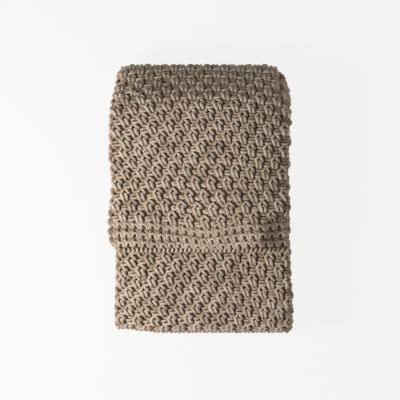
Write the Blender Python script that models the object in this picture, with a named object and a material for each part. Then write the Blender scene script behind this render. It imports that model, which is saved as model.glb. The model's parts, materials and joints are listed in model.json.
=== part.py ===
"""A chunky knitted throw, folded in four across its width and rolled in four along its length.

The throw is one panel of double moss stitch with a ribbed garter-stitch border at each end. It
is modelled flat, as it comes off the needles, and its points are then carried through the two
folds that its owner makes: across, into a strip of four layers, and along, into a stack of four
passes of that strip. Last, the stack settles under its own weight.

Metres, +Z up. The throw lies on the ground, its folded end towards +Y and its flap on top.
"""

import math
from collections import namedtuple

import bmesh
import bpy

# The throw laid flat: one layer of knitting and its two borders
WIDTH = 1.30
LENGTH = 1.714
CLOTH = 0.0084
RIDGES = 4
RIDGE_PITCH = 0.0166
GROOVE = 0.0016

# The folded throw: its air gaps, its length and how far its lower end reaches past the flap
LAYER_AIR = 0.0009
PASS_AIR = 0.0024
FOLDED_LENGTH = 0.4937
LEDGE = 0.149
SELVEDGE_INSET = 0.005

# How it settles: folds pressed square, the folded end slumped and its corners drawn in, and the
# tucked end pinched where it is pushed up into the fold at the foot
SIDE_SQUARE = 3.0
FOOT_SQUARE = 4.0
HEAD_SQUARE = 3.0
SLUMP = 0.031
SLUMP_HEIGHTS = (0.050, 0.125)
SLUMP_RUN = 0.15
CORNER = 0.026
CORNER_POWER = 14
CORNER_RUN = 0.11
NARROWING = 0.04
HEM_SAG = 0.14
HEM_SAG_RUN = 0.06
PINCH = 0.25
PINCH_RUN = 0.06
WAVE = 0.012
WAVE_LENGTHS = (0.29, 0.41)
HOLLOW = 0.009
HOLLOW_PLACE = (0.150, 0.034)
HOLLOW_RADIUS = 0.032
DROOP = 0.010
DROOP_ACROSS = (0.070, 0.100)
DROOP_HEIGHTS = (0.092, 0.062)
FOOT_CORNER = 0.009
FOOT_CORNER_ACROSS = (0.060, 0.110)
FOOT_CORNER_RUN = 0.080

# What follows from the sizes above
LAYER = CLOTH + LAYER_AIR
STRIP = 3 * LAYER + CLOTH
HEIGHT = 4 * STRIP + 3 * PASS_AIR
SIDE_REACH = STRIP / 2
FIRST_FOLD_REACH = 0.5 * LAYER + CLOTH / 2
FOOT_RADIUS = (3 * STRIP + 2 * PASS_AIR) / 2

SIDE_TURNS = 2.5 * math.pi * LAYER
TOP_RUN = (WIDTH - SIDE_TURNS + 2 * FIRST_FOLD_REACH + SELVEDGE_INSET) / 4
FOLDED_WIDTH = TOP_RUN + SIDE_REACH
LEFT = -FOLDED_WIDTH / 2
SIDE_X = FOLDED_WIDTH / 2 - SIDE_REACH

HEAD_Y = FOLDED_LENGTH / 2 - HEIGHT / 2
FOOT_Y = FOOT_RADIUS - FOLDED_LENGTH / 2
HEM_Y = LEDGE - FOLDED_LENGTH / 2
PASS = HEAD_Y - FOOT_Y
BORDER = RIDGES * RIDGE_PITCH

Leg = namedtuple("Leg", "length turn steps")

HALF_TURN = math.pi
HEAD_TURN = HALF_TURN * (HEIGHT - STRIP) / 2
FOOT_TURN = HALF_TURN * (STRIP + PASS_AIR)
CORE_TURN = HALF_TURN * (STRIP + PASS_AIR) / 2
FLAP = HEAD_Y - HEM_Y
TUCKED = LENGTH - FLAP - HEAD_TURN - PASS - FOOT_TURN - PASS - CORE_TURN

# Across: from the upper selvedge round the outer side fold, the first fold and the inner side
# fold to the lower selvedge. A turn to the right is negative.
ACROSS = (
    Leg(TOP_RUN, 0, 6),
    Leg(1.5 * HALF_TURN * LAYER, -HALF_TURN, 6),
    Leg(TOP_RUN - FIRST_FOLD_REACH, 0, 5),
    Leg(0.5 * HALF_TURN * LAYER, -HALF_TURN, 4),
    Leg(TOP_RUN - FIRST_FOLD_REACH, 0, 5),
    Leg(0.5 * HALF_TURN * LAYER, HALF_TURN, 4),
    Leg(TOP_RUN - SELVEDGE_INSET, 0, 5),
)

# Along: from the flap's hem over the head, under the stack, round the foot and back into it.
ALONG = (
    Leg(BORDER, 0, 3 * RIDGES),
    Leg(FLAP - BORDER, 0, 6),
    Leg(HEAD_TURN, -HALF_TURN, 9),
    Leg(PASS, 0, 5),
    Leg(FOOT_TURN, -HALF_TURN, 8),
    Leg(PASS, 0, 6),
    Leg(CORE_TURN, -HALF_TURN, 6),
    Leg(TUCKED - BORDER, 0, 5),
    Leg(BORDER, 0, 3 * RIDGES),
)

# How far each side edge stands from a straight one, at places along the throw
Sway = namedtuple("Sway", "along left right")
SWAYS = (
    Sway(0.000, 0.014, 0.002),
    Sway(0.012, 0.005, 0.000),
    Sway(0.030, 0.000, -0.002),
    Sway(0.06, 0.000, -0.003),
    Sway(0.09, 0.004, 0.001),
    Sway(0.13, 0.007, -0.003),
    Sway(0.19, 0.002, 0.000),
    Sway(0.27, 0.003, 0.002),
    Sway(0.36, 0.010, 0.000),
    Sway(0.46, 0.011, -0.002),
    Sway(0.70, 0.014, 0.001),
    Sway(0.80, 0.013, 0.004),
    Sway(0.93, 0.012, 0.006),
    Sway(0.99, 0.014, 0.002),
    Sway(1.09, 0.015, 0.000),
    Sway(1.28, 0.013, -0.004),
    Sway(1.35, 0.012, -0.006),
    Sway(1.72, 0.014, -0.003),
)

# Taupe wool
WOOL = (0.26, 0.195, 0.145, 1.0)
WOOL_ROUGHNESS = 0.95


def ease(t):
    """A soft ramp from 0 at t = 0 to 1 at t = 1."""
    t = min(max(t, 0.0), 1.0)
    return t * t * (3 - 2 * t)


def places(path, crowding=0.0):
    """The distances along a path at which its points stand, crowding towards straights' ends."""
    found = [0.0]
    for leg in path:
        start = found[-1]
        for i in range(leg.steps):
            t = (i + 1) / leg.steps
            if not leg.turn:
                t += crowding * (ease(t) - t)
            found.append(start + leg.length * t)
    return found


def walk(path, start, distance):
    """The point this far along a path of straights and arcs, and the normal on its left."""
    a, b = start
    heading = 0.0
    for leg in path:
        step = min(distance, leg.length)
        if leg.turn:
            radius = leg.length / leg.turn
            ahead = heading + step / radius
            a += radius * (math.sin(ahead) - math.sin(heading))
            b -= radius * (math.cos(ahead) - math.cos(heading))
            heading = ahead
        else:
            a += step * math.cos(heading)
            b += step * math.sin(heading)
        distance -= step
        if distance <= 0:
            break
    return a, b, -math.sin(heading), math.cos(heading)


def squared(out, up, power):
    """Presses a round fold square: a circle about its centre becomes a superellipse."""
    if out <= 0:
        return out, up
    pressed = (out**power + abs(up) ** power) ** (1 / power)
    swell = math.hypot(out, up) / pressed
    return out * swell, up * swell


def groove(along, side):
    """How deep a face lies below the border's ridges; the back's stand between the face's."""
    from_hem = min(along, LENGTH - along)
    if from_hem >= BORDER:
        return 0.0
    turn = from_hem / RIDGE_PITCH + (0 if side > 0 else 0.5)
    return GROOVE * (1 + math.cos(2 * math.pi * turn)) / 2


def sway(x, along):
    """How far a point moves sideways with the two uneven side edges."""
    for low, high in zip(SWAYS, SWAYS[1:]):
        if along <= high.along:
            break
    t = ease((along - low.along) / (high.along - low.along))
    left = low.left + (high.left - low.left) * t
    right = low.right + (high.right - low.right) * t
    across = (x - LEFT) / FOLDED_WIDTH
    return left + (right - left) * across


def settled(x, y, z):
    """The stack's point after its folds have pressed square and its head has slumped."""
    out, up = squared(FOOT_Y - y, z - FOOT_RADIUS, FOOT_SQUARE)
    y, z = FOOT_Y - out, FOOT_RADIUS + up
    if z < HEIGHT / 2:
        out, up = squared(y - HEAD_Y, z - HEIGHT / 2, HEAD_SQUARE)
        y, z = HEAD_Y + out, HEIGHT / 2 + up

    slump = SLUMP * ease((z - SLUMP_HEIGHTS[0]) / (SLUMP_HEIGHTS[1] - SLUMP_HEIGHTS[0]))
    y -= slump * ease(1 + (y - HEAD_Y) / SLUMP_RUN)
    towards_side = abs(2 * x / FOLDED_WIDTH) ** CORNER_POWER
    y -= CORNER * towards_side * ease((y - HEAD_Y + 0.4 * CORNER_RUN) / CORNER_RUN)
    towards_left = ease((-x - FOOT_CORNER_ACROSS[0]) / FOOT_CORNER_ACROSS[1])
    y += FOOT_CORNER * towards_left * ease((FOOT_Y - y) / FOOT_CORNER_RUN + 0.4)
    x *= 1 - NARROWING * ease((y - HEAD_Y) / (HEIGHT / 2))

    wave = math.sin(2 * math.pi * x / WAVE_LENGTHS[0] + 0.8)
    wave *= math.sin(2 * math.pi * y / WAVE_LENGTHS[1] + 0.3)
    z *= 1 + WAVE * wave
    aside = (x - HOLLOW_PLACE[0]) / HOLLOW_RADIUS
    above = (y - HEM_Y - HOLLOW_PLACE[1]) / HOLLOW_RADIUS
    z -= HOLLOW * math.exp(-(aside**2) - above**2) * ease(2 * z / HEIGHT - 1)
    droop = DROOP * ease((x - DROOP_ACROSS[0]) / DROOP_ACROSS[1])
    z -= droop * ease((z - DROOP_HEIGHTS[0]) / DROOP_HEIGHTS[1])
    return x, y, z


def folded(across, along, side):
    """Where a point of the flat throw lies once folded; side is 1 on its face, -1 on its back."""
    x, level, nx, nlevel = walk(ACROSS, (LEFT, STRIP - CLOTH / 2), across)
    half = side * (CLOTH / 2 - groove(along, side))
    x, level = x + nx * half, level + nlevel * half
    out, up = squared(x - SIDE_X, level - STRIP / 2, SIDE_SQUARE)
    x, level = SIDE_X + out, STRIP / 2 + up
    x += sway(x, along)
    level *= 1 - HEM_SAG * ease(1 - along / HEM_SAG_RUN)
    y, z, ny, nz = walk(ALONG, (HEM_Y, HEIGHT - STRIP / 2), along)
    out = (level - STRIP / 2) * (1 - PINCH * ease(1 - (LENGTH - along) / PINCH_RUN))
    return settled(x, y + ny * out, z + nz * out)


def wool():
    """Matt taupe wool."""
    material = bpy.data.materials.new("taupe_wool")
    material.use_nodes = True
    surface = material.node_tree.nodes["Principled BSDF"]
    surface.inputs["Base Color"].default_value = WOOL
    surface.inputs["Roughness"].default_value = WOOL_ROUGHNESS
    surface.inputs["Metallic"].default_value = 0.0
    material.diffuse_color = WOOL
    return material


def throw():
    """The folded throw: a flat slab of cloth, gridded where it bends, then folded."""
    columns = places(ACROSS, crowding=1.0)
    rows = places(ALONG)
    bm = bmesh.new()
    bmesh.ops.create_grid(bm, x_segments=len(columns) - 1, y_segments=len(rows) - 1, size=0.5)
    face = bmesh.ops.extrude_face_region(bm, geom=bm.faces[:] + bm.edges[:], use_keep_orig=True)
    for vert in bm.verts:
        vert.co.z = -1.0
    for vert in (item for item in face["geom"] if isinstance(item, bmesh.types.BMVert)):
        vert.co.z = 1.0
    for vert in bm.verts:
        column = round((vert.co.x + 0.5) * (len(columns) - 1))
        row = round((vert.co.y + 0.5) * (len(rows) - 1))
        vert.co = folded(columns[column], rows[row], vert.co.z)
    xs = [vert.co.x for vert in bm.verts]
    ys = [vert.co.y for vert in bm.verts]
    to_origin = (-(min(xs) + max(xs)) / 2, -(min(ys) + max(ys)) / 2, 0.0)
    bmesh.ops.translate(bm, verts=bm.verts[:], vec=to_origin)
    bmesh.ops.recalc_face_normals(bm, faces=bm.faces[:])

    mesh = bpy.data.meshes.new("throw")
    bm.to_mesh(mesh)
    bm.free()
    mesh.materials.append(wool())
    mesh.shade_smooth()
    mesh.set_sharp_from_angle(angle=math.radians(60))
    bpy.context.scene.collection.objects.link(bpy.data.objects.new("throw", mesh))


for old in list(bpy.data.objects):
    bpy.data.objects.remove(old, do_unlink=True)
throw()
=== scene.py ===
import json
import math
from collections import namedtuple

import bmesh
import bpy
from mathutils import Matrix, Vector, noise

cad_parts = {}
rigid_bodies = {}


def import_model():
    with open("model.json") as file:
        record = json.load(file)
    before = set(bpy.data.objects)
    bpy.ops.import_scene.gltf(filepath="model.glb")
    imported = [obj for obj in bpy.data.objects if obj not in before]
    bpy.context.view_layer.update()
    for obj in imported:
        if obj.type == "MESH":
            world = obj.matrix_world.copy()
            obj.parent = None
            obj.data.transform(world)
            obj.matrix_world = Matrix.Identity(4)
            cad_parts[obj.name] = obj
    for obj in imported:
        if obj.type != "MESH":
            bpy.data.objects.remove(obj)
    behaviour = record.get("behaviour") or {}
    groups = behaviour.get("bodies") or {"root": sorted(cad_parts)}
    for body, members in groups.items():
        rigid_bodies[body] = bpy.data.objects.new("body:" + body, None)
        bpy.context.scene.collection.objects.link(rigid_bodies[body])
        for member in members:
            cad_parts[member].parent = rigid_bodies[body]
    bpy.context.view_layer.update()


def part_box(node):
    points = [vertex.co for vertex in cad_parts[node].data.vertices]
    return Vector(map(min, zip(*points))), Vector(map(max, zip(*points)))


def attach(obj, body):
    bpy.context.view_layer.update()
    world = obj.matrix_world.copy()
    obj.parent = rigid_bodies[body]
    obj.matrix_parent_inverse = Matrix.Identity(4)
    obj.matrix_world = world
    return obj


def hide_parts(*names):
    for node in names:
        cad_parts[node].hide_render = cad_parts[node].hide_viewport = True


for old in list(bpy.data.objects):
    bpy.data.objects.remove(old, do_unlink=True)
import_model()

# ---------------------------------------------------------------------------------------------
# The folded panel: one piece of thick knitting, folded in half twice across into a strip of four
# layers, then rolled up in four passes along its length. This is the back of the cloth, a thin sheet
# that shows between the strands, which lie over its face; its dark colour is painted shade there.

WIDTH = 1.30
LENGTH = 1.714
CLOTH = 0.0084
LAYER = CLOTH + 0.0009
PASS_AIR = 0.0024
FOLDED_LENGTH = 0.4937
LEDGE = 0.149
SELVEDGE_INSET = 0.005

SIDE_SQUARE = 3.0
FOOT_SQUARE = 4.0
HEAD_SQUARE = 3.0
SLUMP = 0.031
SLUMP_HEIGHTS = (0.050, 0.125)
SLUMP_RUN = 0.15
CORNER = 0.026
CORNER_POWER = 14
CORNER_RUN = 0.11
CORNER_LEAD = 0.4
NARROWING = 0.04
HEM_SAG = 0.14
HEM_SAG_RUN = 0.06
PINCH = 0.25
PINCH_RUN = 0.06
WAVE = 0.012
WAVE_LENGTHS = (0.29, 0.41)
WAVE_STARTS = (0.8, 0.3)
HOLLOW = 0.009
HOLLOW_PLACE = (0.150, 0.034)
HOLLOW_RADIUS = 0.032
DROOP = 0.010
DROOP_ACROSS = (0.070, 0.100)
DROOP_HEIGHTS = (0.092, 0.062)
FOOT_CORNER = 0.009
FOOT_CORNER_ACROSS = (0.060, 0.110)
FOOT_CORNER_RUN = 0.080

STRIP = 3 * LAYER + CLOTH
HEIGHT = 4 * STRIP + 3 * PASS_AIR
SIDE_REACH = STRIP / 2
FIRST_FOLD_REACH = 0.5 * LAYER + CLOTH / 2
FOOT_RADIUS = (3 * STRIP + 2 * PASS_AIR) / 2
TOP_RUN = (WIDTH - 2.5 * math.pi * LAYER + 2 * FIRST_FOLD_REACH + SELVEDGE_INSET) / 4
FOLDED_WIDTH = TOP_RUN + SIDE_REACH
LEFT = -FOLDED_WIDTH / 2
SIDE_X = FOLDED_WIDTH / 2 - SIDE_REACH
HEAD_Y = FOLDED_LENGTH / 2 - HEIGHT / 2
FOOT_Y = FOOT_RADIUS - FOLDED_LENGTH / 2
HEM_Y = LEDGE - FOLDED_LENGTH / 2
PASS = HEAD_Y - FOOT_Y
FLAP = HEAD_Y - HEM_Y

# The solid is centred on its footprint, so its foot is not quite half a folded length away
TO_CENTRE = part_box("throw")[0][1] + FOLDED_LENGTH / 2

Leg = namedtuple("Leg", "length turn")
ACROSS = (
    Leg(TOP_RUN, 0),
    Leg(1.5 * math.pi * LAYER, -math.pi),
    Leg(TOP_RUN - FIRST_FOLD_REACH, 0),
    Leg(0.5 * math.pi * LAYER, -math.pi),
    Leg(TOP_RUN - FIRST_FOLD_REACH, 0),
    Leg(0.5 * math.pi * LAYER, math.pi),
    Leg(TOP_RUN - SELVEDGE_INSET, 0),
)
ALONG = (
    Leg(FLAP, 0),
    Leg(math.pi * (HEIGHT - STRIP) / 2, -math.pi),
    Leg(PASS, 0),
    Leg(math.pi * (STRIP + PASS_AIR), -math.pi),
    Leg(PASS, 0),
    Leg(math.pi * (STRIP + PASS_AIR) / 2, -math.pi),
    Leg(PASS, 0),
)

Sway = namedtuple("Sway", "along left right")
SWAYS = (
    Sway(0.000, 0.014, 0.002),
    Sway(0.012, 0.005, 0.000),
    Sway(0.030, 0.000, -0.002),
    Sway(0.06, 0.000, -0.003),
    Sway(0.09, 0.004, 0.001),
    Sway(0.13, 0.007, -0.003),
    Sway(0.19, 0.002, 0.000),
    Sway(0.27, 0.003, 0.002),
    Sway(0.36, 0.010, 0.000),
    Sway(0.46, 0.011, -0.002),
    Sway(0.70, 0.014, 0.001),
    Sway(0.80, 0.013, 0.004),
    Sway(0.93, 0.012, 0.006),
    Sway(0.99, 0.014, 0.002),
    Sway(1.09, 0.015, 0.000),
    Sway(1.28, 0.013, -0.004),
    Sway(1.35, 0.012, -0.006),
    Sway(1.72, 0.014, -0.003),
)


def ease(t):
    """A soft ramp from 0 at t = 0 to 1 at t = 1."""
    t = min(max(t, 0.0), 1.0)
    return t * t * (3 - 2 * t)


def walk(path, start, distance):
    """The point this far along a path of straights and arcs, and the normal on its left."""
    a, b = start
    heading = 0.0
    for leg in path:
        step = min(distance, leg.length)
        if leg.turn:
            radius = leg.length / leg.turn
            ahead = heading + step / radius
            a += radius * (math.sin(ahead) - math.sin(heading))
            b -= radius * (math.cos(ahead) - math.cos(heading))
            heading = ahead
        else:
            a += step * math.cos(heading)
            b += step * math.sin(heading)
        distance -= step
        if distance <= 0:
            break
    return a, b, -math.sin(heading), math.cos(heading)


def squared(out, up, power):
    """Presses a round fold square: a circle about its centre becomes a superellipse."""
    if out <= 0:
        return out, up
    pressed = (out**power + abs(up) ** power) ** (1 / power)
    swell = math.hypot(out, up) / pressed
    return out * swell, up * swell


def sway(x, along):
    """How far a point moves sideways with the two uneven side edges."""
    for low, high in zip(SWAYS, SWAYS[1:]):
        if along <= high.along:
            break
    t = ease((along - low.along) / (high.along - low.along))
    left = low.left + (high.left - low.left) * t
    right = low.right + (high.right - low.right) * t
    return left + (right - left) * (x - LEFT) / FOLDED_WIDTH


def settled(x, y, z):
    """The stack's point after its folds have pressed square and its head has slumped."""
    out, up = squared(FOOT_Y - y, z - FOOT_RADIUS, FOOT_SQUARE)
    y, z = FOOT_Y - out, FOOT_RADIUS + up
    if z < HEIGHT / 2:
        out, up = squared(y - HEAD_Y, z - HEIGHT / 2, HEAD_SQUARE)
        y, z = HEAD_Y + out, HEIGHT / 2 + up

    slump = SLUMP * ease((z - SLUMP_HEIGHTS[0]) / (SLUMP_HEIGHTS[1] - SLUMP_HEIGHTS[0]))
    y -= slump * ease(1 + (y - HEAD_Y) / SLUMP_RUN)
    towards_side = abs(2 * x / FOLDED_WIDTH) ** CORNER_POWER
    y -= CORNER * towards_side * ease((y - HEAD_Y) / CORNER_RUN + CORNER_LEAD)
    towards_left = ease((-x - FOOT_CORNER_ACROSS[0]) / FOOT_CORNER_ACROSS[1])
    y += FOOT_CORNER * towards_left * ease((FOOT_Y - y) / FOOT_CORNER_RUN + CORNER_LEAD)
    x *= 1 - NARROWING * ease((y - HEAD_Y) / (HEIGHT / 2))

    wave = math.sin(2 * math.pi * x / WAVE_LENGTHS[0] + WAVE_STARTS[0])
    wave *= math.sin(2 * math.pi * y / WAVE_LENGTHS[1] + WAVE_STARTS[1])
    z *= 1 + WAVE * wave
    aside = (x - HOLLOW_PLACE[0]) / HOLLOW_RADIUS
    above = (y - HEM_Y - HOLLOW_PLACE[1]) / HOLLOW_RADIUS
    z -= HOLLOW * math.exp(-(aside**2) - above**2) * ease(2 * z / HEIGHT - 1)
    droop = DROOP * ease((x - DROOP_ACROSS[0]) / DROOP_ACROSS[1])
    z -= droop * ease((z - DROOP_HEIGHTS[0]) / DROOP_HEIGHTS[1])
    return x, y, z


# Soft creases in the flap, and one swell of negative depth: each runs from one point to another,
# this deep and this wide
Crease = namedtuple("Crease", "x y end_x end_y depth width")
CREASES = (
    Crease(0.130, -0.042, 0.172, -0.040, 0.008, 0.0065),
    Crease(0.120, -0.077, 0.172, -0.073, 0.008, 0.0060),
    Crease(0.168, -0.100, 0.165, 0.160, 0.009, 0.028),
    Crease(-0.032, -0.090, -0.032, -0.050, 0.010, 0.045),
    Crease(0.110, -0.090, 0.110, -0.060, -0.011, 0.035),
)


def creased(x, y, z):
    """The point once the creases have sunk the top third of the stack."""
    top = ease(3 * z / HEIGHT - 2)
    for crease in CREASES:
        along_x, along_y = crease.end_x - crease.x, crease.end_y - crease.y
        t = ((x - crease.x) * along_x + (y - crease.y) * along_y) / (along_x**2 + along_y**2)
        t = min(max(t, 0.0), 1.0)
        away = math.hypot(x - crease.x - t * along_x, y - crease.y - t * along_y)
        z -= top * crease.depth * math.exp(-((away / crease.width) ** 2))
    return x, y, z


def folded(across, along, out):
    """Where a point of the flat throw lies once folded, out from the middle of the cloth."""
    x, level, nx, nlevel = walk(ACROSS, (LEFT, STRIP - CLOTH / 2), across)
    x, level = x + nx * out, level + nlevel * out
    past, up = squared(x - SIDE_X, level - STRIP / 2, SIDE_SQUARE)
    x, level = SIDE_X + past, STRIP / 2 + up
    x += sway(x, along)
    level *= 1 - HEM_SAG * ease(1 - along / HEM_SAG_RUN)
    y, z, ny, nz = walk(ALONG, (HEM_Y, HEIGHT - STRIP / 2), along)
    rise = (level - STRIP / 2) * (1 - PINCH * ease(1 - (LENGTH - along) / PINCH_RUN))
    x, y, z = creased(*settled(x, y + ny * rise, z + nz * rise))
    return x, y + TO_CENTRE, z


GROUND_COLUMNS = 80
GROUND_ROWS = 150
GROUND_INSET = 0.007
GROUND_FACE = -0.0022
GROUND_BACK = -0.0044
# The sheet's two colours are painted shade for the gaps between the strands, mottled at random
GROUND_SHADE_DARK = (0.190, 0.120, 0.070, 1.0)
GROUND_SHADE_LIGHT = (0.370, 0.250, 0.155, 1.0)
MOTTLE = ((0.32, GROUND_SHADE_DARK), (0.68, GROUND_SHADE_LIGHT))
MATTING_SCALE = 420.0
MATTING_HEIGHT = 0.0012


def painted_shade_ground():
    """Painted shade for the gaps between the strands: a dark, mottled sheet with rough matted fibres.
    """
    material = bpy.data.materials.new("painted_shade_ground")
    material.use_nodes = True
    nodes, links = material.node_tree.nodes, material.node_tree.links
    surface = nodes["Principled BSDF"]
    surface.inputs["Roughness"].default_value = 1.0
    matting = nodes.new("ShaderNodeTexNoise")
    matting.inputs["Scale"].default_value = MATTING_SCALE
    matting.inputs["Detail"].default_value = 5.0
    matting.inputs["Distortion"].default_value = 1.5
    links.new(nodes.new("ShaderNodeTexCoord").outputs["Object"], matting.inputs["Vector"])
    mottle = nodes.new("ShaderNodeValToRGB")
    for element, (place, color) in zip(mottle.color_ramp.elements, MOTTLE):
        element.position = place
        element.color = color
    links.new(matting.outputs[0], mottle.inputs[0])
    links.new(mottle.outputs[0], surface.inputs["Base Color"])
    relief = nodes.new("ShaderNodeBump")
    relief.inputs["Distance"].default_value = MATTING_HEIGHT
    links.new(matting.outputs[0], relief.inputs["Height"])
    links.new(relief.outputs[0], surface.inputs["Normal"])
    return material


def corner_order(face):
    """A number of its own for each face, from the first and the last of its corners."""
    corners = [vert.index for vert in face.verts]
    return min(corners) * len(bm.verts) + max(corners)


bm = bmesh.new()
bmesh.ops.create_grid(bm, x_segments=GROUND_COLUMNS, y_segments=GROUND_ROWS, size=0.5)
raised = bmesh.ops.extrude_face_region(bm, geom=bm.faces[:] + bm.edges[:], use_keep_orig=True)
faces_up = {item for item in raised["geom"] if isinstance(item, bmesh.types.BMVert)}
# The extrusion lists the rim's faces in a new order on each run, and the sort gives them one order
bm.verts.index_update()
bm.faces.sort(key=corner_order)
for vert in bm.verts:
    across = GROUND_INSET + (vert.co.x + 0.5) * (WIDTH - 2 * GROUND_INSET)
    along = GROUND_INSET + (vert.co.y + 0.5) * (LENGTH - 2 * GROUND_INSET)
    vert.co = folded(across, along, GROUND_FACE if vert in faces_up else GROUND_BACK)
bmesh.ops.recalc_face_normals(bm, faces=bm.faces[:])
mesh = bpy.data.meshes.new("folded_panel")
bm.to_mesh(mesh)
bm.free()
mesh.shade_smooth()
folded_panel = bpy.data.objects.new("folded_panel", mesh)
folded_panel.data.materials.append(painted_shade_ground())
bpy.context.scene.collection.objects.link(folded_panel)
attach(folded_panel, "root")
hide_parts("throw")


# ---------------------------------------------------------------------------------------------
# The knitting: soft, thick, loosely plied taupe wool worked in double moss stitch, one knit and
# one purl by turns, moved over by one every second course. The courses end at the flap's hem in
# a garter-stitch border. A knit stitch has its legs in front, a purl its head and its sinkers.

STITCH = 0.0160
LEDGE_STITCH = 0.0147
COURSE = 0.0099
BORDER_COURSES = 6
BORDER_COURSE = 0.0086
FIRST_COURSE = 0.0095
YARN_RADIUS = 0.0026
TILT = 0.40
EDGE_COLUMNS = 4
EDGE_ROOM = 1.2
EDGE_MIDDLE = 0.72
UNEVEN = 0.0012
UNEVEN_SCALE = 70
WANDER = 0.0026
BORDER_WANDER = 0.0044
WANDER_SCALE = 16
THICKNESS_VARIES = 0.14
UNEVEN_DRAW = 11

# Blender draws the offsets of its noise vectors from the clock unless they have a seed
noise.seed_set(UNEVEN_DRAW)

# The bends of one loop, from the strand on its left to the strand on its right. Each lies this far
# aside in half stitches, this far towards the hem in courses and this far out in millimetres, and
# the yarn is this thick there. Two knit stitches follow two purl stitches in a column.
Bend = namedtuple("Bend", "aside up out thick")
FIRST_KNIT = (
    Bend(-1.00, -0.85, -2.0, 0.80),
    Bend(-0.40, -0.84, -1.6, 0.82),
    Bend(-0.04, -0.64, 1.2, 0.92),
    Bend(-0.50, -0.30, 2.6, 1.00),
    Bend(-0.98, 0.04, 2.4, 0.98),
    Bend(-1.10, 0.28, -0.8, 0.84),
    Bend(-0.62, 0.38, -0.2, 0.94),
    Bend(-0.05, 0.36, 2.0, 1.22),
    Bend(0.48, 0.42, -0.2, 0.92),
    Bend(0.82, 0.40, -1.2, 0.82),
    Bend(0.76, 0.18, 1.6, 0.92),
    Bend(0.52, -0.14, 3.1, 1.02),
    Bend(0.18, -0.54, 2.2, 0.96),
    Bend(0.36, -0.84, -1.6, 0.80),
    Bend(1.00, -0.82, -2.2, 0.80),
)
LAST_KNIT = (
    Bend(-1.00, -0.56, 0.4, 0.82),
    Bend(-0.84, -0.76, 1.2, 0.90),
    Bend(-0.66, -0.88, 2.4, 1.00),
    Bend(-0.58, -0.62, 3.3, 1.12),
    Bend(-0.50, -0.25, 3.6, 1.18),
    Bend(-0.44, 0.12, 3.2, 1.14),
    Bend(-0.46, 0.42, 0.8, 0.94),
    Bend(-0.58, 0.70, -0.6, 0.84),
    Bend(-0.50, 0.90, 1.2, 0.88),
    Bend(-0.20, 0.98, 1.9, 0.92),
    Bend(0.20, 1.00, 1.9, 0.92),
    Bend(0.50, 0.92, 1.0, 0.86),
    Bend(0.58, 0.68, -0.8, 0.82),
    Bend(0.50, 0.44, 0.6, 0.94),
    Bend(0.46, 0.12, 3.2, 1.16),
    Bend(0.42, -0.20, 3.4, 1.18),
    Bend(0.34, -0.52, 1.8, 1.00),
    Bend(0.46, -0.78, -1.2, 0.82),
    Bend(1.00, -0.74, -2.2, 0.80),
)
FIRST_PURL = (
    Bend(-1.00, -0.82, -2.2, 0.80),
    Bend(-0.62, -0.88, -0.8, 0.82),
    Bend(-0.14, -0.92, 1.0, 0.86),
    Bend(-0.10, -0.58, 0.6, 0.84),
    Bend(-0.42, 0.02, -3.2, 0.80),
    Bend(-0.88, 0.60, -1.6, 0.80),
    Bend(-0.86, 1.00, 1.8, 0.90),
    Bend(-0.40, 1.10, 3.4, 1.00),
    Bend(0.24, 1.10, 3.6, 1.04),
    Bend(0.76, 1.02, 2.2, 0.94),
    Bend(0.76, 0.60, -1.4, 0.80),
    Bend(0.42, 0.02, -3.2, 0.80),
    Bend(0.14, -0.56, 0.4, 0.84),
    Bend(0.20, -0.90, 0.8, 0.86),
    Bend(0.62, -0.88, -0.8, 0.82),
    Bend(1.00, -0.85, -2.0, 0.80),
)
LAST_PURL = (
    Bend(-1.00, -0.74, -2.2, 0.80),
    Bend(-0.74, -0.60, -2.2, 0.80),
    Bend(-0.56, -0.40, -2.6, 0.80),
    Bend(-0.46, 0.34, -3.2, 0.80),
    Bend(-0.36, 0.80, -3.0, 0.80),
    Bend(0.00, 0.95, -3.0, 0.80),
    Bend(0.36, 0.80, -3.0, 0.80),
    Bend(0.46, 0.34, -3.2, 0.80),
    Bend(-0.10, -0.10, -2.8, 0.80),
    Bend(-0.72, -0.36, -0.2, 0.84),
    Bend(-0.24, -0.44, 2.4, 0.92),
    Bend(0.34, -0.44, 2.6, 0.92),
    Bend(0.80, -0.50, 1.2, 0.86),
    Bend(1.00, -0.56, 0.4, 0.82),
)
GARTER_KNIT = (
    Bend(-1.00, -1.02, -2.6, 0.85),
    Bend(-0.60, -0.84, -1.8, 0.88),
    Bend(-0.28, -0.46, 0.8, 1.10),
    Bend(-0.30, 0.00, 2.0, 1.26),
    Bend(-0.40, 0.42, 2.0, 1.22),
    Bend(-0.42, 0.74, 1.6, 1.06),
    Bend(0.00, 0.90, 1.6, 0.98),
    Bend(0.42, 0.74, 1.6, 1.06),
    Bend(0.40, 0.42, 2.0, 1.22),
    Bend(0.30, 0.00, 2.0, 1.26),
    Bend(0.28, -0.46, 0.8, 1.10),
    Bend(0.60, -0.84, -1.8, 0.88),
    Bend(1.00, -1.02, -2.6, 0.85),
)
GARTER_PURL = (
    Bend(-1.00, -1.04, 3.2, 1.00),
    Bend(-0.66, -0.96, 3.4, 1.00),
    Bend(-0.40, -0.66, 3.2, 1.00),
    Bend(-0.12, -0.40, 2.2, 0.96),
    Bend(-0.14, -0.02, -1.0, 0.90),
    Bend(-0.60, 0.40, -1.6, 0.85),
    Bend(-0.44, 0.80, -2.0, 0.85),
    Bend(0.00, 0.92, -2.2, 0.85),
    Bend(0.44, 0.80, -2.0, 0.85),
    Bend(0.60, 0.40, -1.6, 0.85),
    Bend(0.14, -0.02, -1.0, 0.90),
    Bend(0.12, -0.40, 2.2, 0.96),
    Bend(0.40, -0.66, 3.2, 1.00),
    Bend(0.66, -0.96, 3.4, 1.00),
    Bend(1.00, -1.04, 3.2, 1.00),
)
PILLOW = 1.2
HEAD_PILLOW = -0.8
HEAD_RELIEF = 0.55
SIDE_PILLOW = 2.7
HEAD_RUN = 0.40
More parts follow.
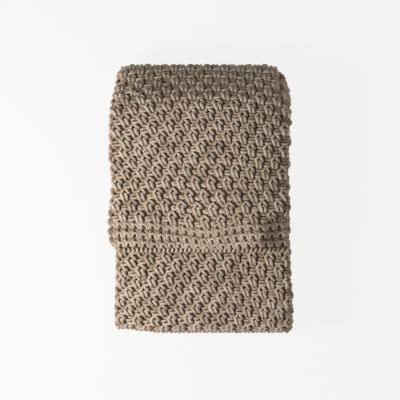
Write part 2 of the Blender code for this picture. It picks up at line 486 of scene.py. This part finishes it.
HEAD_REACH = 0.07
SIDE_BEND = 0.020
MILLIMETRE = 0.001
# sunk is how far out a strand lies; the wool paints shade where it lies deep
Turn = namedtuple("Turn", "spot thickness wound sunk")

OUTER_STEPS = 700
outer_runs = [0.0]
outer_places = [LENGTH * i / OUTER_STEPS for i in range(OUTER_STEPS + 1)]
last = folded(TOP_RUN / 2, 0.0, CLOTH / 2)
for place in outer_places[1:]:
    here = folded(TOP_RUN / 2, place, CLOTH / 2)
    outer_runs.append(outer_runs[-1] + math.dist(here, last))
    last = here


def along_at(run):
    """The place along the throw that lies this far from the hem over the outside of the stack."""
    run = max(run, 0.0)
    low, high = 0, OUTER_STEPS
    while high - low > 1:
        middle = (low + high) // 2
        if outer_runs[middle] <= run:
            low = middle
        else:
            high = middle
    t = (run - outer_runs[low]) / (outer_runs[high] - outer_runs[low])
    return outer_places[low] + t * (outer_places[high] - outer_places[low])


def course_run(course):
    """How far a course's middle lies from the hem, over the outside of the stack."""
    moss = max(course - BORDER_COURSES, 0)
    return FIRST_COURSE + min(course, BORDER_COURSES) * BORDER_COURSE + moss * COURSE


def knit_or_purl(course, column):
    """1 for a knit stitch and -1 for a purl stitch, as the face shows it."""
    if course < BORDER_COURSES:
        return -1 if course % 2 == 0 else 1
    return 1 if ((course - BORDER_COURSES) // 2 + column) % 2 == 0 else -1


# How far the columns drift sideways for each metre towards the hem, at the strip's two sides
Drift = namedtuple("Drift", "run left right")
DRIFTS = (
    Drift(0.00, -0.05, 0.20),
    Drift(0.10, -0.05, 0.20),
    Drift(0.16, 0.16, -0.03),
    Drift(0.36, 0.16, -0.03),
    Drift(0.42, 0.00, 0.00),
    Drift(0.98, 0.00, 0.00),
    Drift(1.02, 0.15, 0.00),
    Drift(1.30, 0.15, 0.00),
    Drift(1.40, 0.00, 0.00),
    Drift(2.00, 0.00, 0.00),
)


def drift_rate(across, run):
    """How fast the columns drift sideways here, as cloth does where it is pulled askew."""
    for low, high in zip(DRIFTS, DRIFTS[1:]):
        if run <= high.run:
            break
    t = (run - low.run) / (high.run - low.run)
    side = min(max(across / FOLDED_WIDTH, 0.0), 1.0)
    return (low.left + (high.left - low.left) * t) * (1 - side) + (
        low.right + (high.right - low.right) * t
    ) * side


def drift(across, run):
    """How far the columns have drifted towards the selvedge, counted from the hem."""
    total = 0.0
    for low, high in zip(DRIFTS, DRIFTS[1:]):
        if run <= low.run:
            break
        end = min(run, high.run)
        total += (end - low.run) * drift_rate(across, (low.run + end) / 2)
    return total


# A change along the throw: where it starts and the length that it takes
Onset = namedtuple("Onset", "start over")
BOW = 0.012
BOW_ONSET = Onset(0.04, 0.12)
SAG = 0.013
SAG_PLACE = (0.172, 0.050)
SAG_SIDES = (0.055, 0.075)
SAG_ENDS = (0.031, 0.100)
DRAWING_IN = Onset(0.6, 0.3)
LEAN = 0.38
LEAN_VARIES = 0.12
LEAN_SCALE = 0.9
LEAN_FLAP = Onset(0.03, 0.04)
LEAN_HEAD = Onset(0.25, 0.06)
LEAN_LEDGE = Onset(0.95, 0.05)
UPRIGHT = 0.6
UPRIGHT_RIGHT = Onset(0.55, 0.3)


def onset(place, change):
    """How far a change has come at this place, from 0 to 1."""
    return ease((place - change.start) / change.over)


def arch(across, run):
    """How far the courses bow away from the hem in the middle, where the border itself sags."""
    side = (across - FOLDED_WIDTH / 2) / (FOLDED_WIDTH / 2)
    if abs(side) >= 1:
        return 0.0
    bow = BOW * onset(run, BOW_ONSET) * (1 + math.cos(math.pi * side)) / 2
    aside = (across - SAG_PLACE[0]) / SAG_SIDES[across > SAG_PLACE[0]]
    beyond = (run - SAG_PLACE[1]) / SAG_ENDS[run > SAG_PLACE[1]]
    return bow - SAG * math.exp(-(aside**2) - beyond**2)


def stitch_width(run):
    """The width of one stitch; the throw draws in towards its far end."""
    return STITCH + (LEDGE_STITCH - STITCH) * onset(run, DRAWING_IN)


def stitches(run, start, end):
    """The columns of a course and their middles' places across, between two places."""
    width = stitch_width(run)
    row = []
    for column in range(-math.ceil(TOP_RUN / width) - 2, math.ceil(WIDTH / width)):
        straight = TOP_RUN + column * width
        middle = straight - drift(straight, run)
        if EDGE_ROOM * width < middle < WIDTH - EDGE_ROOM * width:
            row.append((column, middle))
    # The edge stitches stand still, and the next few share out the room
    for row_end, edge, way in ((0, EDGE_MIDDLE * width, 1), (-1, WIDTH - EDGE_MIDDLE * width, -1)):
        inner = row[row_end + way * (EDGE_COLUMNS - 1)][1]
        for i in range(EDGE_COLUMNS - 1):
            t = (i + 1) / EDGE_COLUMNS
            spot = row_end + way * i
            row[spot] = (row[spot][0], edge + (inner - edge) * t)
        row.insert(0 if way > 0 else len(row), (row[row_end][0] - way, edge))
    return [item for item in row if start < item[1] < end]


def lean(across, run):
    """How far the loops lean towards the right on their way to the hem."""
    side = min(max(across / FOLDED_WIDTH, 0.0), 1.0)
    flap = onset(run, LEAN_FLAP) * (1 - onset(run, LEAN_HEAD))
    share = 1 - UPRIGHT * onset(side, UPRIGHT_RIGHT)
    return LEAN * (flap + onset(run, LEAN_LEDGE)) * share


def loop(course, column):
    """The bends of this stitch's loop."""
    own = knit_or_purl(course, column)
    if course < BORDER_COURSES:
        return GARTER_KNIT if own > 0 else GARTER_PURL
    if own > 0:
        return FIRST_KNIT if knit_or_purl(course + 1, column) < 0 else LAST_KNIT
    return FIRST_PURL if knit_or_purl(course + 1, column) > 0 else LAST_PURL


def pillow(column, course, head, side):
    """How far the cloth puffs out at a knit pair, or at a purl pair where the head bends it."""
    if course < BORDER_COURSES:
        return 0.0
    over = math.cos(math.pi * column) * math.cos(math.pi * (course - BORDER_COURSES - 0.5) / 2)
    puff = PILLOW + (HEAD_PILLOW - PILLOW) * head
    return over * (puff + (SIDE_PILLOW - puff) * side)


def strand(course, start, end):
    """One course's yarn as points (across, run, out, thickness) on the flat throw."""
    # The last coordinate of each noise call takes another slice of it
    run = course_run(course)
    width = stitch_width(run)
    height = course_run(course + 1) - run
    row = stitches(run, start, end)
    points = []
    wandering = BORDER_WANDER if course < BORDER_COURSES else WANDER
    for number, (column, middle) in enumerate(row):
        before = row[number - 1][1] if number else middle - width
        after = row[number + 1][1] if number + 1 < len(row) else middle + width
        varied = noise.noise((column * LEAN_SCALE, course * LEAN_SCALE, 2.0))
        tilt = lean(middle, run) + LEAN_VARIES * varied
        bends = loop(course, column)
        for bend in bends[:-1] if number + 1 < len(row) else bends:
            half = (middle - before if bend.aside < 0 else after - middle) / 2
            aside, up = bend.aside * half, bend.up * height
            across = middle + aside + (tilt + drift_rate(middle, run)) * up
            place = run - up + TILT * tilt * aside + arch(across, run)
            shift = noise.noise_vector((across * UNEVEN_SCALE, place * UNEVEN_SCALE, bend.out))
            wander = noise.noise_vector((across * WANDER_SCALE, place * WANDER_SCALE, 5.0))
            across += UNEVEN * shift.x + wandering * wander.x
            place += UNEVEN * shift.y + wandering * wander.y
            head = ease(2 - 2 * abs(run - HEAD_RUN) / HEAD_REACH)
            side = max(ease(1 - across / SIDE_BEND), ease((across - TOP_RUN) / SIDE_BEND + 0.5))
            out = bend.out * (1 + HEAD_RELIEF * head)
            out += pillow(column + bend.aside / 2, course - bend.up, head, side)
            thickness = bend.thick + THICKNESS_VARIES * shift.z
            points.append((across, place, out * MILLIMETRE, thickness))
    return points


def laid(points):
    """A strand's points on the folded throw, kept a yarn's radius above the floor."""
    path, wound = [], 0.0
    for across, run, out, thickness in points:
        spot = Vector(folded(across, along_at(run), out))
        spot.z = max(spot.z, YARN_RADIUS * thickness)
        if path:
            wound += (spot - path[-1].spot).length
        path.append(Turn(spot, thickness, wound, out))
    return path


PLY_PITCH = 0.030
WOOL_DARK = (0.46, 0.345, 0.25)
WOOL = (0.61, 0.48, 0.365)
WOOL_PALE = (0.72, 0.59, 0.47)
STREAK = (0.62, 0.60, 0.58)
# Painted shade where a strand lies deep among the others
DEEP_SHADE = (0.40, 0.28, 0.18)
# Painted shade in the grooves between the two plies
PLY_GROOVE_SHADE = (0.60, 0.56, 0.52)
UNCHANGED = (1.0, 1.0, 1.0)
# The depths over which that painted shade fades out
SHADE_DEPTHS = (-0.0030, 0.0022)
FIBRES_A_METRE = 90.0
FIBRES_AROUND = 5.0
FIBRE_SCALE = 1.6
FUZZ_SCALE = 1900.0
BATCH_SCALE = 38.0
RELIEF = 0.0011
STREAK_SHARE = 0.75
PLY_GROOVE_SHADE_SHARE = 0.20
PLY_RELIEF = 0.35
FIBRE_RELIEF = 0.9
FUZZ_RELIEF = 0.35


def taupe_wool():
    """Matt taupe wool: two loosely twisted plies with paler fibres, with painted shade where it lies
    deep and in the grooves between its plies.
    """
    material = bpy.data.materials.new("taupe_wool")
    material.use_nodes = True
    nodes, links = material.node_tree.nodes, material.node_tree.links
    surface = nodes["Principled BSDF"]
    surface.inputs["Roughness"].default_value = 0.92
    surface.inputs["Sheen Weight"].default_value = 0.08
    surface.inputs["Sheen Roughness"].default_value = 0.6
    surface.inputs["Sheen Tint"].default_value = (0.95, 0.88, 0.80, 1.0)

    def value(name, socket):
        node = nodes.new("ShaderNodeAttribute")
        node.attribute_name = name
        return node.outputs[socket]

    def maths(operation, first, second):
        node = nodes.new("ShaderNodeMath")
        node.operation = operation
        for entry, source in zip(node.inputs, (first, second)):
            if isinstance(source, (int, float)):
                entry.default_value = source
            else:
                links.new(source, entry)
        return node.outputs[0]

    def noise_at(scale, detail, place):
        node = nodes.new("ShaderNodeTexNoise")
        node.inputs["Scale"].default_value = scale
        node.inputs["Detail"].default_value = detail
        links.new(place, node.inputs["Vector"])
        return node.outputs[0]

    def ramp(source, stops):
        node = nodes.new("ShaderNodeValToRGB")
        links.new(source, node.inputs[0])
        while len(node.color_ramp.elements) < len(stops):
            node.color_ramp.elements.new(0.5)
        for element, (place, color) in zip(node.color_ramp.elements, stops):
            element.position = place
            element.color = (*color, 1.0)
        return node.outputs[0]

    def blend(kind, amount, first, second):
        node = nodes.new("ShaderNodeMix")
        node.data_type = "RGBA"
        node.blend_type = kind
        node.inputs[0].default_value = amount
        links.new(first, node.inputs[6])
        links.new(second, node.inputs[7])
        return node.outputs[2]

    spots = nodes.new("ShaderNodeTexCoord").outputs["Object"]
    split = nodes.new("ShaderNodeSeparateXYZ")
    uv = nodes.new("ShaderNodeUVMap")
    uv.uv_map = "UVMap"
    links.new(uv.outputs[0], split.inputs[0])
    around = maths("MULTIPLY", split.outputs["Y"], 2 * math.pi)
    wound = maths("MULTIPLY", value("wound", "Fac"), 2 * math.pi / PLY_PITCH)
    twist = maths("ADD", around, wound)
    plies = maths("ABSOLUTE", maths("SINE", twist, 0), 0)

    # Fibres run along the plies: fine noise stretched along the twist
    fibre_place = nodes.new("ShaderNodeCombineXYZ")
    links.new(maths("MULTIPLY", value("wound", "Fac"), FIBRES_A_METRE), fibre_place.inputs[0])
    for entry, wave in ((1, "SINE"), (2, "COSINE")):
        around_ply = maths("MULTIPLY", maths(wave, twist, 0), FIBRES_AROUND)
        links.new(around_ply, fibre_place.inputs[entry])
    fibres = noise_at(FIBRE_SCALE, 4.0, fibre_place.outputs[0])
    fuzz = noise_at(FUZZ_SCALE, 3.0, spots)
    batches = noise_at(BATCH_SCALE, 3.0, spots)

    shade = ramp(batches, ((0.30, WOOL_DARK), (0.50, WOOL), (0.72, WOOL_PALE)))
    streaks = ramp(fibres, ((0.30, STREAK), (0.62, UNCHANGED)))
    # Painted shade: strands that lie deep are darkened and browned, fading out over the depths given
    sunk = nodes.new("ShaderNodeMapRange")
    sunk.inputs["From Min"].default_value = SHADE_DEPTHS[0]
    sunk.inputs["From Max"].default_value = SHADE_DEPTHS[1]
    links.new(value("sunk", "Fac"), sunk.inputs["Value"])
    deep = ramp(sunk.outputs[0], ((0.0, DEEP_SHADE), (1.0, UNCHANGED)))
    # Painted shade in the grooves between the plies, laid over the colour
    ply_groove_shade = ramp(plies, ((0.0, PLY_GROOVE_SHADE), (0.45, UNCHANGED)))
    color = blend("MULTIPLY", STREAK_SHARE, shade, streaks)
    color = blend("MULTIPLY", 1.0, color, deep)
    color = blend("MULTIPLY", PLY_GROOVE_SHADE_SHARE, color, ply_groove_shade)
    links.new(color, surface.inputs["Base Color"])

    relief = nodes.new("ShaderNodeBump")
    relief.inputs["Strength"].default_value = 1.0
    relief.inputs["Distance"].default_value = RELIEF
    height = maths("MULTIPLY", plies, PLY_RELIEF)
    height = maths("ADD", height, maths("MULTIPLY", fibres, FIBRE_RELIEF))
    height = maths("ADD", height, maths("MULTIPLY", fuzz, FUZZ_RELIEF))
    links.new(height, relief.inputs["Height"])
    links.new(relief.outputs[0], surface.inputs["Normal"])
    return material


wool = taupe_wool()


def spun(name, paths, sides):
    """Yarn wound along each path, as one mesh that knows how far it is wound and how deep it lies,
    which the wool uses for painted shade.
    """
    curve = bpy.data.curves.new(name, "CURVE")
    curve.dimensions = "3D"
    curve.bevel_depth = YARN_RADIUS
    curve.bevel_resolution = sides // 2 - 2
    curve.use_fill_caps = True
    for path in paths:
        spline = curve.splines.new("POLY")
        spline.points.add(len(path) - 1)
        for point, turn in zip(spline.points, path):
            point.co = (*turn.spot, 1.0)
            point.radius = turn.thickness
    shape = bpy.data.objects.new(name + "_path", curve)
    bpy.context.scene.collection.objects.link(shape)
    mesh = bpy.data.meshes.new_from_object(shape.evaluated_get(bpy.context.evaluated_depsgraph_get()))
    bpy.data.objects.remove(shape)
    # The caps come first, a ring for each end, and then a ring for each point
    rings = [path[end] for path in paths for end in (-1, 0)]
    rings += [turn for path in paths for turn in path]
    for kind in ("wound", "sunk"):
        values = [getattr(turn, kind) for turn in rings for _ in range(sides)]
        mesh.attributes.new(kind, "FLOAT", "POINT").data.foreach_set("value", values)
    mesh.name = name
    mesh.materials.clear()
    mesh.materials.append(wool)
    mesh.shade_smooth()
    piece = bpy.data.objects.new(name, mesh)
    bpy.context.scene.collection.objects.link(piece)
    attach(piece, "root")
    return piece


COURSES = 190


def courses_between(low, high):
    """The courses whose middles lie between two runs from the hem."""
    return [course for course in range(COURSES) if low <= course_run(course) < high]


FLAP_END = 0.30
HEAD_END = 0.50
FOOT_START = 0.86
LEDGE_START = 1.02
LEDGE_END = 1.18
SIDE_DEPTH = 0.055
SIDE_END = TOP_RUN + SIDE_DEPTH
FULL_ROUND = 8
HALF_HIDDEN = 6
HIDDEN = 4

for name, low, high, sides in (
    ("flap_knitting", 0.0, FLAP_END, FULL_ROUND),
    ("head_knitting", FLAP_END, HEAD_END, FULL_ROUND),
    ("underside_knitting", HEAD_END, FOOT_START, HIDDEN),
    ("foot_knitting", FOOT_START, LEDGE_START, FULL_ROUND),
    ("ledge_knitting", LEDGE_START, LEDGE_END, FULL_ROUND),
):
    strands = [laid(strand(c, 0.0, SIDE_END)) for c in courses_between(low, high)]
    spun(name, strands, sides)

# ---------------------------------------------------------------------------------------------
# The side edges, all the way along the rolled strip. On the right the outer fold shows on every
# pass. On the left lie the two selvedges, with the yarn's turns as bumps, and the first fold.

FAR_END = outer_runs[-1]
FIRST_FOLD = 2 * TOP_RUN + 1.5 * math.pi * LAYER - FIRST_FOLD_REACH
RIGHT_BAND = 0.018
FIRST_FOLD_BAND = (0.020, 0.032)
SELVEDGE_BAND = 0.040
BUMP = 0.0032
EDGE_SINK = 0.78
TURN_INSET = 0.0035
TURN_STEPS = 8
TURN_OVERLAP = 0.28
TURN_THICK = 1.05
TURN_SWELL = 0.25
TURN_SCALE = 90


def edge_turn(course, edge, way):
    """The yarn's turn at a selvedge from one course into the next: a soft, thick bump."""
    first, last = course_run(course), course_run(course + 1)
    path = []
    for step in range(TURN_STEPS + 1):
        t = TURN_OVERLAP * (2 * step / TURN_STEPS - 1) + step / TURN_STEPS
        bulge = math.sin(math.pi * step / TURN_STEPS)
        place = (first + last * t) * TURN_SCALE
        wander = noise.noise_vector((edge * TURN_SCALE, place, 7.0))
        run = first + EDGE_SINK * COURSE + (last - first) * t + UNEVEN * wander.x
        out = 0.5 * math.cos(math.pi * step / TURN_STEPS) * YARN_RADIUS
        thickness = TURN_THICK + TURN_SWELL * bulge + THICKNESS_VARIES * wander.y
        path.append((edge - way * BUMP * bulge, run, out, thickness))
    return path


def edge_band(name, start, end, first_run):
    """The stitches of one side edge, on every course from this run to the far end."""
    courses = courses_between(first_run, FAR_END)
    spun(name, [laid(strand(course, start, end)) for course in courses], HALF_HIDDEN)


edge_band("right_fold_knitting", TOP_RUN - RIGHT_BAND, SIDE_END, LEDGE_END)
edge_band(
    "left_fold_knitting", FIRST_FOLD - FIRST_FOLD_BAND[0], FIRST_FOLD + FIRST_FOLD_BAND[1], 0.0
)
edge_band("lower_selvedge_knitting", WIDTH - SELVEDGE_BAND, WIDTH, 0.0)
edge_band("upper_selvedge_knitting", 0.0, SELVEDGE_BAND, LEDGE_END)

turns = [laid(edge_turn(c, TURN_INSET, 1)) for c in range(0, COURSES - 2, 2)]
turns += [laid(edge_turn(c, WIDTH - TURN_INSET, -1)) for c in range(1, COURSES - 2, 2)]
spun("selvedge_turns", turns, FULL_ROUND)

# ---------------------------------------------------------------------------------------------
# The two ends of the knitting. The hem has its two courses on the layers under the flap and the
# cast-off chain, yarn wound over the edge in slanting turns. The cast-on edge at the tucked far
# end is wound in the same way. Both chains run across the whole width.

HEM_BAND = 0.02
CHAIN_PITCH = 0.0083
CHAIN_STEPS = 12
CHAIN_RUN = 0.0034
CHAIN_REACH = 0.0027
CHAIN_DEPTH = 0.0036
CHAIN_SCALE = 60
CAST_ON_OUT = 0.008


def edge_chain(edge, way):
    """The yarn that ends the knitting, wound over an edge in close slanting turns."""
    path = []
    for step in range(int((WIDTH - 2 * CHAIN_PITCH) / CHAIN_PITCH) * CHAIN_STEPS):
        turn = 2 * math.pi * step / CHAIN_STEPS
        across = CHAIN_PITCH * (1 + step / CHAIN_STEPS)
        wander = noise.noise_vector((across * CHAIN_SCALE, 0.0, 3.0))
        run = edge + way * (CHAIN_RUN + CHAIN_REACH * math.sin(turn)) + UNEVEN * wander.x
        thickness = 1.0 + THICKNESS_VARIES * wander.y
        path.append((across, run, CHAIN_DEPTH * math.cos(turn), thickness))
    return path


hem_courses = courses_between(0.0, HEM_BAND)
spun("hem_knitting", [laid(strand(c, SIDE_END, WIDTH)) for c in hem_courses], HALF_HIDDEN)
spun("cast_off_chain", [laid(edge_chain(0.0, 1))], HALF_HIDDEN)
spun("cast_on_chain", [laid(edge_chain(FAR_END + CAST_ON_OUT, -1))], HIDDEN)

# ---------------------------------------------------------------------------------------------
# The floor and the studio light: a floor that glows white, so that shadows on it stay faint, an
# even white surround and one soft light from the left, low enough to show the stitches.

FLOOR_SIZE = 8.0
FLOOR_COLOR = (0.05, 0.05, 0.05, 1.0)
FLOOR_GLOW = 0.861
SURROUND = 0.330
KEY_PLACE = (-0.85, -0.27, 0.80)
KEY_AIM = (-0.02, 0.0, 0.10)
KEY_SIZE = 0.30
KEY_POWER = 14.8

floor_mesh = bpy.data.meshes.new("floor")
bm = bmesh.new()
bmesh.ops.create_grid(bm, x_segments=1, y_segments=1, size=FLOOR_SIZE / 2)
bm.to_mesh(floor_mesh)
bm.free()
floor = bpy.data.objects.new("floor", floor_mesh)
bpy.context.scene.collection.objects.link(floor)
paper = bpy.data.materials.new("white_paper")
paper.use_nodes = True
paper_surface = paper.node_tree.nodes["Principled BSDF"]
paper_surface.inputs["Base Color"].default_value = FLOOR_COLOR
paper_surface.inputs["Roughness"].default_value = 1.0
paper_surface.inputs["Emission Color"].default_value = (1.0, 1.0, 1.0, 1.0)
paper_surface.inputs["Emission Strength"].default_value = FLOOR_GLOW
floor_mesh.materials.append(paper)

world = bpy.data.worlds.new("studio")
bpy.context.scene.world = world
world.use_nodes = True
world.node_tree.nodes["Background"].inputs["Color"].default_value = (1.0, 1.0, 1.0, 1.0)
world.node_tree.nodes["Background"].inputs["Strength"].default_value = SURROUND

key_light = bpy.data.lights.new("key", "AREA")
key_light.size = KEY_SIZE
key_light.energy = KEY_POWER
key = bpy.data.objects.new("key", key_light)
key.location = KEY_PLACE
key.rotation_euler = (Vector(KEY_AIM) - Vector(KEY_PLACE)).to_track_quat("-Z", "Y").to_euler()
bpy.context.scene.collection.objects.link(key)
bpy.context.scene.view_settings.view_transform = "Standard"

# ---------------------------------------------------------------------------------------------
# The camera looks straight down from far enough away that the sides of the stack stay hidden.

CAMERA_PLACE = (0.0018, -0.0019, 7.0)
CAMERA_REACH = 20
FOCUS_HEIGHT = 0.12
METRES_PER_PIXEL = 0.001838
SENSOR = 36.0
PICTURE = 400

camera_data = bpy.data.cameras.new("camera")
camera_data.sensor_width = SENSOR
camera_data.lens = SENSOR * (CAMERA_PLACE[2] - FOCUS_HEIGHT) / (PICTURE * METRES_PER_PIXEL)
camera_data.clip_end = CAMERA_REACH
camera = bpy.data.objects.new("camera", camera_data)
camera.location = CAMERA_PLACE
bpy.context.scene.collection.objects.link(camera)
bpy.context.scene.camera = camera
